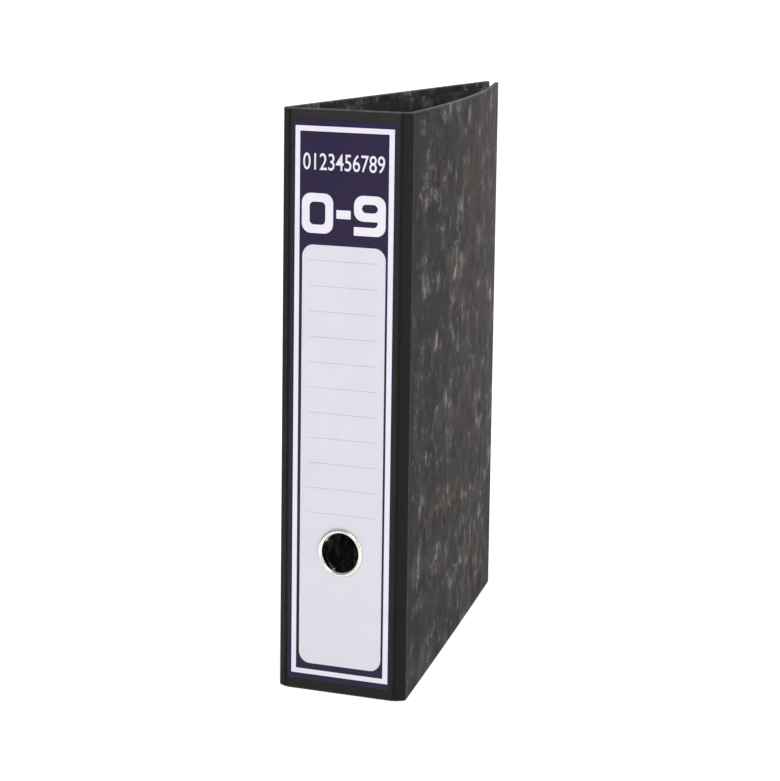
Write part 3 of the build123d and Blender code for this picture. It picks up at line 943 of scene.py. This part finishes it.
def range_numbers():
    """The bold 0-9 of the index range, in a plain squared style."""
    left, right, foot, head = NUMBER_BOX
    stroke, bend = 4.6, 5.2
    wide = 18.5
    hollow = bend - 0.6 * stroke
    zero = rounded_box(left, left + wide, foot, head, bend)
    zero_hole = rounded_box(
        left + stroke, left + wide - stroke, foot + stroke, head - stroke, hollow
    )
    dash_left, dash_right = left + wide + 1.9, right - wide - 1.9
    middle = (foot + head) / 2
    dash = rounded_box(dash_left, dash_right, middle - stroke / 2, middle + stroke / 2, 0.3)
    near, waist = right - wide, foot + 0.36 * (head - foot)
    nine = rounded_corners([
        (near, foot, 0.3), (right, foot, bend), (right, head, bend), (near, head, bend),
        (near, waist, bend), (right - stroke, waist, 0.0), (right - stroke, foot + stroke, hollow),
        (near, foot + stroke, 0.3),
    ])
    nine_hole = rounded_box(
        near + stroke, right - stroke, waist + stroke, head - stroke, hollow
    )
    for name, outlines in (
        ("label_zero", [zero, zero_hole]), ("label_dash", [dash]), ("label_nine", [nine, nine_hole])
    ):
        ink(name, outlines, FRAME)


def index_numbers():
    """The small row of plain numbers at the head of the label."""
    left, right, foot, head = INDEX_BOX
    font = bpy.data.curves.new("label_index", "FONT")
    font.body = "0123456789"
    font.size = 30.0
    font.offset = 0.12
    font.extrude = INK / 2
    font.resolution_u = 6
    drawn = bpy.data.objects.new("label_index_drawn", font)
    bpy.context.scene.collection.objects.link(drawn)
    mesh = solid_of(drawn)
    xs = [v.co.x for v in mesh.vertices]
    ys = [v.co.y for v in mesh.vertices]
    wide, tall = (right - left) / (max(xs) - min(xs)), (head - foot) / (max(ys) - min(ys))
    fit = Matrix.Translation((left, foot, INK / 2)) @ Matrix.Diagonal((wide, tall, 1, 1))
    fit = fit @ Matrix.Translation((-min(xs), -min(ys), 0))
    mesh.transform(label_place(0) @ Matrix.Scale(MM, 4) @ fit)
    mesh.materials.clear()
    on_label(link("label_index", mesh, (FRAME,)))


# ---- finger ring ----


def finger_ring():
    """The nickelled ring: a rolled flange over the label, a barrel and a curled end."""
    face = (LABEL_FACE - RING_CENTRE.y) / MM
    crown = (low("finger_ring").y - RING_CENTRE.y) / MM
    back = (high("finger_ring").y - RING_CENTRE.y) / MM
    bore, barrel = RING_BORE, RING_BARREL
    flange = (high("finger_ring").x - low("finger_ring").x) / (2 * MM)
    middle, half, rise = (flange + bore) / 2, (flange - bore) / 2, face - crown
    profile = [(flange - 0.5, face - 0.02)]
    for step in range(19):
        turn = math.pi * step / 18
        profile.append((middle + half * math.cos(turn), face - 0.02 - rise * math.sin(turn)))
    profile += [(bore, 0.0), (bore, back - 0.4)]
    profile += arc((bore + 0.4, back - 0.4), 0.4, 180, 90, 4)
    profile += arc((barrel + 1.2 - 0.4, back - 0.4), 0.4, 90, -60, 6)
    profile += [(barrel, back - 0.75), (barrel, face - 0.02)]
    ring = lathe("finger_ring_turned", profile, RING_CENTRE, (0, 1, 0), (NICKEL,), 128, 60)
    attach(ring, "spine")
    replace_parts(ring, "finger_ring")


# ---- lever mechanism, drawn in millimetres from the back cover's inner face ----
# u runs towards the fore edge, v stands up from the cover, h is the height above the middle.

PLATE_START_Y = low("base_plate").y


def mech_point(point):
    """A point on a joint's axis or in a box, as (u, v)."""
    return (point.y - PLATE_START_Y) / MM, (point.x - BACK_INNER_X) / MM


AXIS_U, AXIS_V = mech_point(pivot("arch_hinge"))
PIVOT_U, PIVOT_V = mech_point(pivot("lever_pivot"))
ROLLER_U, ROLLER_V = mech_point(pivot("roller_spin"))
POST_U = mech_point((low("upper_post") + high("upper_post")) / 2)[0]
POST_H = ((low("upper_post") + high("upper_post")).z / 2 - MIDDLE_Z) / MM
POST_TOP = mech_point(high("upper_post"))[1]
PLATE_WIDTH = mech_point(high("base_plate"))[0]
PLATE_HALF = (high("base_plate").z - MIDDLE_Z) / MM
PLATE_TOP = 1.0
SHEET = 1.2
WIRE_RADIUS = 1.9
RIVET_SPOTS = [(u, h) for u in (8.0, 50.0) for h in (-66.0, 66.0)]
HANDLE_ANGLE = 150.0
HANDLE_LENGTH = 34.0
CLAMP_LOW, CLAMP_HIGH = mech_point(low("paper_clamp"))[1], mech_point(high("paper_clamp"))[1]
CLAMP_HALF = (high("paper_clamp").z - MIDDLE_Z) / MM


def top_of(node):
    """How far a node reaches above the file's middle, in millimetres."""
    return (high(node).z - MIDDLE_Z) / MM


def at(u, v, h):
    """A place on the mechanism, in the frame's own metres."""
    return Vector((BACK_INNER_X + v * MM, PLATE_START_Y + u * MM, MIDDLE_Z + h * MM))


def axes(x_axis, y_axis, z_axis, origin):
    """The placement whose local axes point along these three."""
    turn = Matrix((x_axis, y_axis, z_axis)).transposed().to_4x4()
    return Matrix.Translation(origin) @ turn


def face_place(v):
    """Draws in u and h; thickness stands up from the cover."""
    return axes((0, 1, 0), (0, 0, 1), (1, 0, 0), at(0, v, 0))


def side_place(h):
    """Draws in u and v; thickness runs down from h."""
    return axes((0, 1, 0), (1, 0, 0), (0, 0, -1), at(0, 0, h))


def lever_place(h):
    """Draws from the lever's pivot: x along the handle, y towards the cover."""
    turn = math.radians(HANDLE_ANGLE)
    along = Vector((math.sin(turn), math.cos(turn), 0))
    down = Vector((0, 0, -1))
    return axes(along, down.cross(along), down, at(PIVOT_U, PIVOT_V, h))


def fit_on(body, slot, node, *pieces):
    """Pieces that ride on a body and together stand for one frame node."""
    for piece in pieces:
        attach(piece, body)
    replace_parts(pieces[0], node)


def loft(name, rings, materials):
    """A closed mesh through rings of points, with flat ends."""
    mesh = skin(name, [tuple(point) for ring in rings for point in ring], len(rings[0]))
    close_up(mesh)
    shade(mesh)
    return link(name, mesh, materials)


def tube(name, path, radii, materials, segments=24):
    """A round wire along a path, with its own radius at each point."""
    rings = []
    side = Vector((0, 0, 1))
    for number, point in enumerate(path):
        ahead = path[min(number + 1, len(path) - 1)] - path[max(number - 1, 0)]
        ahead.normalize()
        side = (side - ahead * side.dot(ahead)).normalized()
        other = ahead.cross(side)
        turns = [2 * math.pi * step / segments for step in range(segments)]
        rings.append(
            [point + (side * math.cos(t) + other * math.sin(t)) * radii[number] for t in turns]
        )
    return loft(name, rings, materials)


def bent(corners, radius, steps=8):
    """A path in space through corners, each inner corner rounded by an arc."""
    path = [corners[0]]
    for before, here, after in zip(corners, corners[1:], corners[2:]):
        back, ahead = (before - here).normalized(), (after - here).normalized()
        half = back.angle(ahead) / 2
        centre = here + (back + ahead).normalized() * radius / math.sin(half)
        start = here + back * radius / math.tan(half) - centre
        turn = start.rotation_difference(here + ahead * radius / math.tan(half) - centre)
        for step in range(steps + 1):
            part = turn.copy()
            part.angle = turn.angle * step / steps
            path.append(centre + part @ start)
    return path + [corners[-1]]


def base_plate():
    """The pressed steel plate with its finger cut-out and four stiffening ribs."""
    notch_u, notch_h = PLATE_WIDTH - 7.5, 17.5
    outline = rounded_corners([
        (0, -PLATE_HALF, 7), (PLATE_WIDTH, -PLATE_HALF, 7), (PLATE_WIDTH, -notch_h, 0.8),
        (notch_u, -notch_h, 7.4), (notch_u, notch_h, 7.4), (PLATE_WIDTH, notch_h, 0.8),
        (PLATE_WIDTH, PLATE_HALF, 7), (0, PLATE_HALF, 7),
    ], 8)
    sheet = plate("base_plate_sheet", [outline], PLATE_TOP, face_place(0), (PLATE,), 0.25)
    ribs = []
    for h in (-66.0, -50.0, 50.0, 66.0):
        rib = rounded_box(14.5, 43.5, h - 2, h + 2, 1.99, 8)
        ribs.append(
            plate(f"base_plate_rib_{len(ribs) + 1}", [rib], 1.6, face_place(0.2), (PLATE,), 0.75)
        )
    fit_on("back_cover", "nickel_plate", "base_plate", sheet, *ribs)


def rivets():
    """Four rivets with domed heads, hollow on the plate's side."""
    outside, inside = (mech_point(corner)[1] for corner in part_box("mechanism_rivets"))
    cover = outside + 0.7
    head, shank, bore = 4.4, 2.0, 1.2
    profile = [(0, outside), (2.6, outside + 0.04), (3.7, outside + 0.22), (4.25, outside + 0.5)]
    profile += [(head, cover), (shank, cover), (shank, PLATE_TOP), (head, PLATE_TOP)]
    profile += [(4.2, PLATE_TOP + 0.34), (3.3, inside - 0.06), (2.2, inside), (1.5, inside - 0.1)]
    profile += [(bore, inside - 0.4), (bore, 0), (0, 0)]
    made = [
        lathe(f"rivet_{number + 1}", profile, at(u, 0, h), (1, 0, 0), (PLATE,), 48, 50)
        for number, (u, h) in enumerate(RIVET_SPOTS)
    ]
    fit_on("back_cover", "nickel_plate", "mechanism_rivets", *made)


def posts():
    """The two filing posts, each with a collar, a rounded mouth and a socket for the arch."""
    radius, collar = 2.1, 4.0
    profile = [(0, PLATE_TOP), (collar, PLATE_TOP), (3.95, 3.6), (3.7, 4.05), (3.3, 4.2)]
    profile += [(radius + 0.3, 4.25), (radius, 4.6), (radius, POST_TOP - 0.3)]
    profile += [(radius - 0.1, POST_TOP - 0.06), (radius - 0.25, POST_TOP)]
    profile += [(1.7, POST_TOP - 0.1), (0.6, POST_TOP - 1.3), (0, POST_TOP - 1.35)]
    for name, h in (("lower_post", -POST_H), ("upper_post", POST_H)):
        made = lathe(f"{name}_turned", profile, at(POST_U, 0, h), (1, 0, 0), (WIRE,), 48)
        fit_on("back_cover", "nickel_plate", name, made)


def saddles():
    """The two bearing lugs that the arch's wire turns in."""
    half = WIRE_RADIUS + SHEET
    foot = 5.5
    outline = rounded_corners([
        (AXIS_U - foot, PLATE_TOP, 0), (AXIS_U + foot, PLATE_TOP, 0),
        (AXIS_U + foot, PLATE_TOP + SHEET, 0.5), (AXIS_U + half, PLATE_TOP + SHEET, 0.7),
        (AXIS_U + half, AXIS_V + half, half - 0.01), (AXIS_U - half, AXIS_V + half, half - 0.01),
        (AXIS_U - half, PLATE_TOP + SHEET, 0.7), (AXIS_U - foot, PLATE_TOP + SHEET, 0.5),
    ], 8)
    hole = circle(AXIS_U, AXIS_V, WIRE_RADIUS + 0.08, 32)
    for name in ("lower_arch_saddle", "upper_arch_saddle"):
        wide = (high(name).z - low(name).z) / MM
        lug = plate(f"{name}_bent", [outline, hole], wide, side_place(top_of(name)), (PLATE,), 0.3)
        fit_on("back_cover", "nickel_plate", name, lug)


def lever_bracket():
    """The U bracket whose two ears carry the lever's pin."""
    ear_outer = top_of("lever_bracket")
    foot_start, foot_end = AXIS_U + 19.0, AXIS_U + 30.0
    feet = [(u, v) for u in (foot_start, foot_end) for v in (PLATE_TOP, PLATE_TOP + SHEET)]
    ear = hull(circle(PIVOT_U, PIVOT_V, 3.6) + feet)
    hole = circle(PIVOT_U, PIVOT_V, 1.53, 24)
    ears = [
        plate(f"lever_bracket_ear_{number + 1}", [ear, hole], SHEET, side_place(h), (PLATE,), 0.25)
        for number, h in enumerate((ear_outer, SHEET - ear_outer))
    ]
    foot = rounded_box(foot_start, foot_end, -ear_outer, ear_outer, 0.8)
    base = plate("lever_bracket_foot", [foot], SHEET, face_place(PLATE_TOP), (PLATE,), 0.25)
    fit_on("back_cover", "nickel_plate", "lever_bracket", base, *ears)


def cross_pin(node, body, u, v, radius, head):
    """A pin across the lever with a domed head at each end."""
    end = top_of(node)
    shoulder = end - 0.7
    half = [(0, end), (0.6 * head, end - 0.06), (0.9 * head, end - 0.3), (head, shoulder)]
    half.append((radius, shoulder))
    profile = half + [(r, -level) for r, level in reversed(half)]
    made = lathe(f"{node}_turned", profile, at(u, v, 0), (0, 0, 1), (WIRE,), 40)
    fit_on(body, "bright_wire", node, made)


def roller():
    """The roller that presses on the crank, with chamfered ends."""
    end = top_of("roller")
    bore, outer, chamfer = 1.36, 4.0, 0.4
    half = [(outer, end - chamfer), (outer - chamfer, end), (bore, end)]
    profile = [(radius, -level) for radius, level in reversed(half)] + half
    made = lathe("roller_turned", profile, at(ROLLER_U, ROLLER_V, 0), (0, 0, 1), (WIRE,), 48, 25)
    fit_on("roller", "bright_wire", "roller", made)


def arch():
    """The bent wire: two hoops joined by a cranked shaft, each hoop with a tapered tip."""
    tip_v, hoop = POST_TOP + 0.4, (POST_U - AXIS_U) / 2
    turns = [math.pi * step / 24 for step in range(25)]
    half = [at(POST_U, tip_v - 1.0, POST_H), at(POST_U, tip_v - 0.2, POST_H)]
    radii = [1.05, 1.75]
    for turn in turns:
        u, v = POST_U - hoop + hoop * math.cos(turn), tip_v + hoop * math.sin(turn)
        half.append(at(u, v, POST_H))
    crank_u, crank_h = AXIS_U + 14.0, 16.0
    corners = [
        at(AXIS_U, tip_v, POST_H), at(AXIS_U, AXIS_V, POST_H), at(AXIS_U, AXIS_V, crank_h),
        at(crank_u, AXIS_V, crank_h), at(crank_u, AXIS_V, 0),
    ]
    half += bent(corners, 5 * MM)[1:]
    radii += [WIRE_RADIUS] * (len(half) - len(radii))
    mirrored = [Vector((p.x, p.y, 2 * MIDDLE_Z - p.z)) for p in reversed(half[:-1])]
    radii = [radius * MM for radius in radii + radii[-2::-1]]
    wire = tube("arch_wire_bent", half + mirrored, radii, (WIRE,))
    fit_on("arch", "bright_wire", "arch_wire", wire)


def thick_sheet(name, spine, half_width, thickness, place, materials, edge=0.3):
    """A strip of sheet that follows spine, a list of (x, y, width share), in a drawing place."""
    rings = []
    for number, (x, y, share) in enumerate(spine):
        x0, y0, _ = spine[max(number - 1, 0)]
        x1, y1, _ = spine[min(number + 1, len(spine) - 1)]
        normal = Vector((y0 - y1, x1 - x0)).normalized()
        wide, half = half_width * share, thickness / 2
        outline = rounded_box(-wide, wide, -half, half, edge, 3)
        ring = []
        for across, out in outline:
            point = Vector((x + normal.x * out, y + normal.y * out, across))
            ring.append(place @ (point * MM))
        rings.append(ring)
    return loft(name, rings, materials)


def lever():
    """The pressed lever: a flared handle with a curled lip, and two ears on the pin."""
    top, start, lip, corner = -4.5, -3.3, 2.4, 4.0
    middle_y = top + SHEET / 2
    lip_radius = lip - SHEET / 2
    lip_x = HANDLE_LENGTH - lip
    wide, neck, ear_height = 12.5, 8.2, 6.3

    def share(x):
        flare = neck + (wide - neck) * smooth((x - 11.0) / 10.0)
        past = min(corner, max(0.0, x - (HANDLE_LENGTH - corner)))
        return (flare - (corner - math.sqrt(corner**2 - past**2))) / wide

    spine = [(start + (lip_x - start) * step / 30, middle_y) for step in range(31)]
    spine += arc((lip_x, middle_y + lip_radius), lip_radius, -90, 90, 12)[1:]
    spine = [(x, y, share(x)) for x, y in spine]
    handle = thick_sheet("lever_handle", spine, wide, SHEET, lever_place(0), (PLATE,))
    pin = lever_place(0).inverted() @ at(ROLLER_U, ROLLER_V, 0) / MM
    x, y = round(pin.x, 2), round(pin.y, 2)
    ear = rounded_corners([
        (start, top, 0.3), (23.8, top, 0.3), (23.8, top + lip, 1.0), (5.2, 3.0, 2.5),
        (x + 2.8, 5.6, 1.5), (x + 2.8, y + 2.8, 2.75), (x - 2.8, y + 2.8, 2.75), (-3.4, 0, 1.0),
    ], 8)
    holes = [circle(0, 0, 1.56, 24), circle(x, y, 1.33, 24)]
    ears = [
        plate(f"lever_ear_{number + 1}", [ear, *holes], SHEET, lever_place(h), (PLATE,), 0.25)
        for number, h in enumerate((ear_height + SHEET, -ear_height))
    ]
    fit_on("lever", "nickel_plate", "lever", handle, *ears)


def leaf_spring():
    """The spring strip under the crank, rising a little past the arch's axis."""
    root, length, rest, rise = 1.5, 23.5, 1.35, 0.25
    spine = []
    for step in range(25):
        u = root + length * step / 24
        spine.append((u, rest + rise * smooth((u - AXIS_U) / 12.0), 1.0))
    strip = thick_sheet("leaf_spring_strip", spine, 6.0, 0.7, side_place(0), (PLATE,), 0.15)
    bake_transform(strip)
    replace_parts(strip, "leaf_spring")


def paper_clamp():
    """The plastic bar that slides on the posts: bosses, a rib between them and a ridged tab."""
    bore, boss, tall, tab_half = 3.1, 5.5, 2.4, 13
    left, right = POST_U - 7.5, POST_U + 7.5
    tab = right + 6.0
    outline = rounded_corners([
        (left, -CLAMP_HALF, 7.4), (right, -CLAMP_HALF, 7.4), (right, -tab_half, 2),
        (tab, -tab_half, 3), (tab, tab_half, 3), (right, tab_half, 2),
        (right, CLAMP_HALF, 7.4), (left, CLAMP_HALF, 7.4),
    ], 10)
    holes = [circle(POST_U, h, bore, 32) for h in (-POST_H, POST_H)]
    top = CLAMP_LOW + tall
    bar = plate("clamp_bar", [outline, *holes], tall, face_place(CLAMP_LOW), (PLASTIC,), 0.6)
    pieces = [bar]
    profile = [(bore, top - 0.5), (boss, top - 0.5), (5.15, CLAMP_HIGH - 0.4), (4.8, CLAMP_HIGH)]
    profile += [(3.4, CLAMP_HIGH), (bore, CLAMP_HIGH - 0.3)]
    for number, h in enumerate((-POST_H, POST_H)):
        place = at(POST_U, 0, h)
        pieces.append(
            lathe(f"clamp_boss_{number + 1}", profile, place, (1, 0, 0), (PLASTIC,), 48)
        )
    reach = POST_H - 4.6
    rib = rounded_box(POST_U - 1.2, POST_U + 1.2, -reach, reach, 0.3, 2)
    rise = CLAMP_HIGH - top + 0.5
    pieces.append(plate("clamp_rib", [rib], rise, face_place(top - 0.5), (PLASTIC,), 0.3))
    for number in range(4):
        u = right + 0.4 + 1.3 * number
        ridge = rounded_box(u - 0.3, u + 0.3, -10, 10, 0.29, 4)
        name = f"clamp_ridge_{number + 1}"
        pieces.append(plate(name, [ridge], 0.9, face_place(top - 0.5), (PLASTIC,), 0.25))
    fit_on("paper_clamp", "black_plastic", "paper_clamp", *pieces)


def ring_washer():
    """The flat washer behind the spine that the finger ring is curled over."""
    near, far = low("finger_ring_washer"), high("finger_ring_washer")
    face, back = (near.y - RING_CENTRE.y) / MM, (far.y - RING_CENTRE.y) / MM
    rim, bore, chamfer = (far.x - near.x) / (2 * MM), RING_BARREL + 0.1, 0.15
    profile = [(bore, face), (rim, face), (rim, back - chamfer), (rim - chamfer, back)]
    profile.append((bore, back))
    made = lathe("ring_washer_disc", profile, RING_CENTRE, (0, 1, 0), (PLATE,), 96)
    fit_on("spine", "ring_nickel", "finger_ring_washer", made)


def mechanism():
    """Everything on the back cover."""
    base_plate()
    rivets()
    posts()
    saddles()
    lever_bracket()
    cross_pin("lever_pin", "back_cover", PIVOT_U, PIVOT_V, 1.5, 2.5)
    cross_pin("roller_pin", "lever", ROLLER_U, ROLLER_V, 1.3, 2.2)
    lever()
    roller()
    arch()
    leaf_spring()
    paper_clamp()


# ---- surroundings ----


def floor():
    """A plain pale sweep: level under the file, rising far behind it."""
    finish = Finish("pale_floor")
    cloud = finish.noise(finish.place(), 0.6, 2, 0.5)
    finish.set(colour=finish.ramp(cloud, (0.3, 0.90), (0.7, 0.93)), roughness=0.85, specular=0.1)
    finish.shader.inputs["Emission Color"].default_value = (1, 1, 1, 1)
    finish.shader.inputs["Emission Strength"].default_value = FLOOR_GLOW
    half, depth, bend = 30.0, 24.0, 5.0
    outline = [(-depth, 0.0), (depth, 0.0)]
    outline += [(depth + bend * math.sin(a), bend * (1 - math.cos(a))) for a in
                [math.pi / 2 * step / 12 for step in range(1, 13)]]
    outline.append((depth + bend, 22.0))
    verts = [(x, y, z) for y, z in outline for x in (-half, half)]
    faces = [(2 * i, 2 * i + 1, 2 * i + 3, 2 * i + 2) for i in range(len(outline) - 1)]
    mesh = bpy.data.meshes.new("studio_floor")
    mesh.from_pydata(verts, [], faces)
    mesh.polygons.foreach_set("use_smooth", [True] * len(faces))
    link("studio_floor", mesh, (finish.material,))


def softbox(name, place, aim, width, tall, power):
    light = bpy.data.lights.new(name, "AREA")
    light.shape = "RECTANGLE"
    light.size, light.size_y = width, tall
    light.energy = power
    lamp = bpy.data.objects.new(name, light)
    lamp.location = place
    lamp.rotation_mode = "QUATERNION"
    lamp.rotation_quaternion = (Vector(aim) - Vector(place)).to_track_quat("-Z", "Y")
    bpy.context.scene.collection.objects.link(lamp)


def lights():
    """A white room that dims to the left, a soft box in front and a weaker one at the right."""
    world = bpy.data.worlds.new("white_room")
    world.use_nodes = True
    tree = world.node_tree
    tree.nodes["Background"].inputs["Strength"].default_value = ROOM_LIGHT
    coordinates = tree.nodes.new("ShaderNodeTexCoord")
    split = tree.nodes.new("ShaderNodeSeparateXYZ")
    across = tree.nodes.new("ShaderNodeMapRange")
    across.inputs["From Min"].default_value = -1.0
    across.inputs["To Min"].default_value = ROOM_LEFT
    tree.links.new(coordinates.outputs["Generated"], split.inputs[0])
    tree.links.new(split.outputs["X"], across.inputs["Value"])
    tree.links.new(across.outputs["Result"], tree.nodes["Background"].inputs["Color"])
    bpy.context.scene.world = world
    middle = (0, 0.1, 0.17)
    softbox("key_front", (0.35, -1.9, 1.3), middle, 1.0, 0.8, 13.5)
    softbox("fill_right", (1.7, -0.3, 0.8), middle, 0.8, 1.2, 4)
    bpy.context.scene.view_settings.view_transform = "Standard"


def camera():
    """A long lens a little to the right of the spine and above it."""
    turn, rise, roll = (math.radians(x) for x in CAMERA_ANGLES)
    back = Vector(
        (math.sin(turn) * math.cos(rise), -math.cos(turn) * math.cos(rise), math.sin(rise))
    )
    right = (-back).cross(Vector((0, 0, 1))).normalized()
    up = back.cross(right)
    looking = axes(right, up, back, CAMERA_PLACE)
    lens = bpy.data.cameras.new("camera")
    lens.lens = CAMERA_LENS
    lens.sensor_width = 36
    lens.clip_start, lens.clip_end = 0.05, 200
    eye = bpy.data.objects.new("camera", lens)
    eye.matrix_world = looking @ Matrix.Rotation(roll, 4, "Z")
    bpy.context.scene.collection.objects.link(eye)
    bpy.context.scene.camera = eye


spine_slab()
for side in (1, -1):
    side_folds(side)
    cover(side)
label()
finger_ring()
ring_washer()
mechanism()
floor()
lights()
camera()
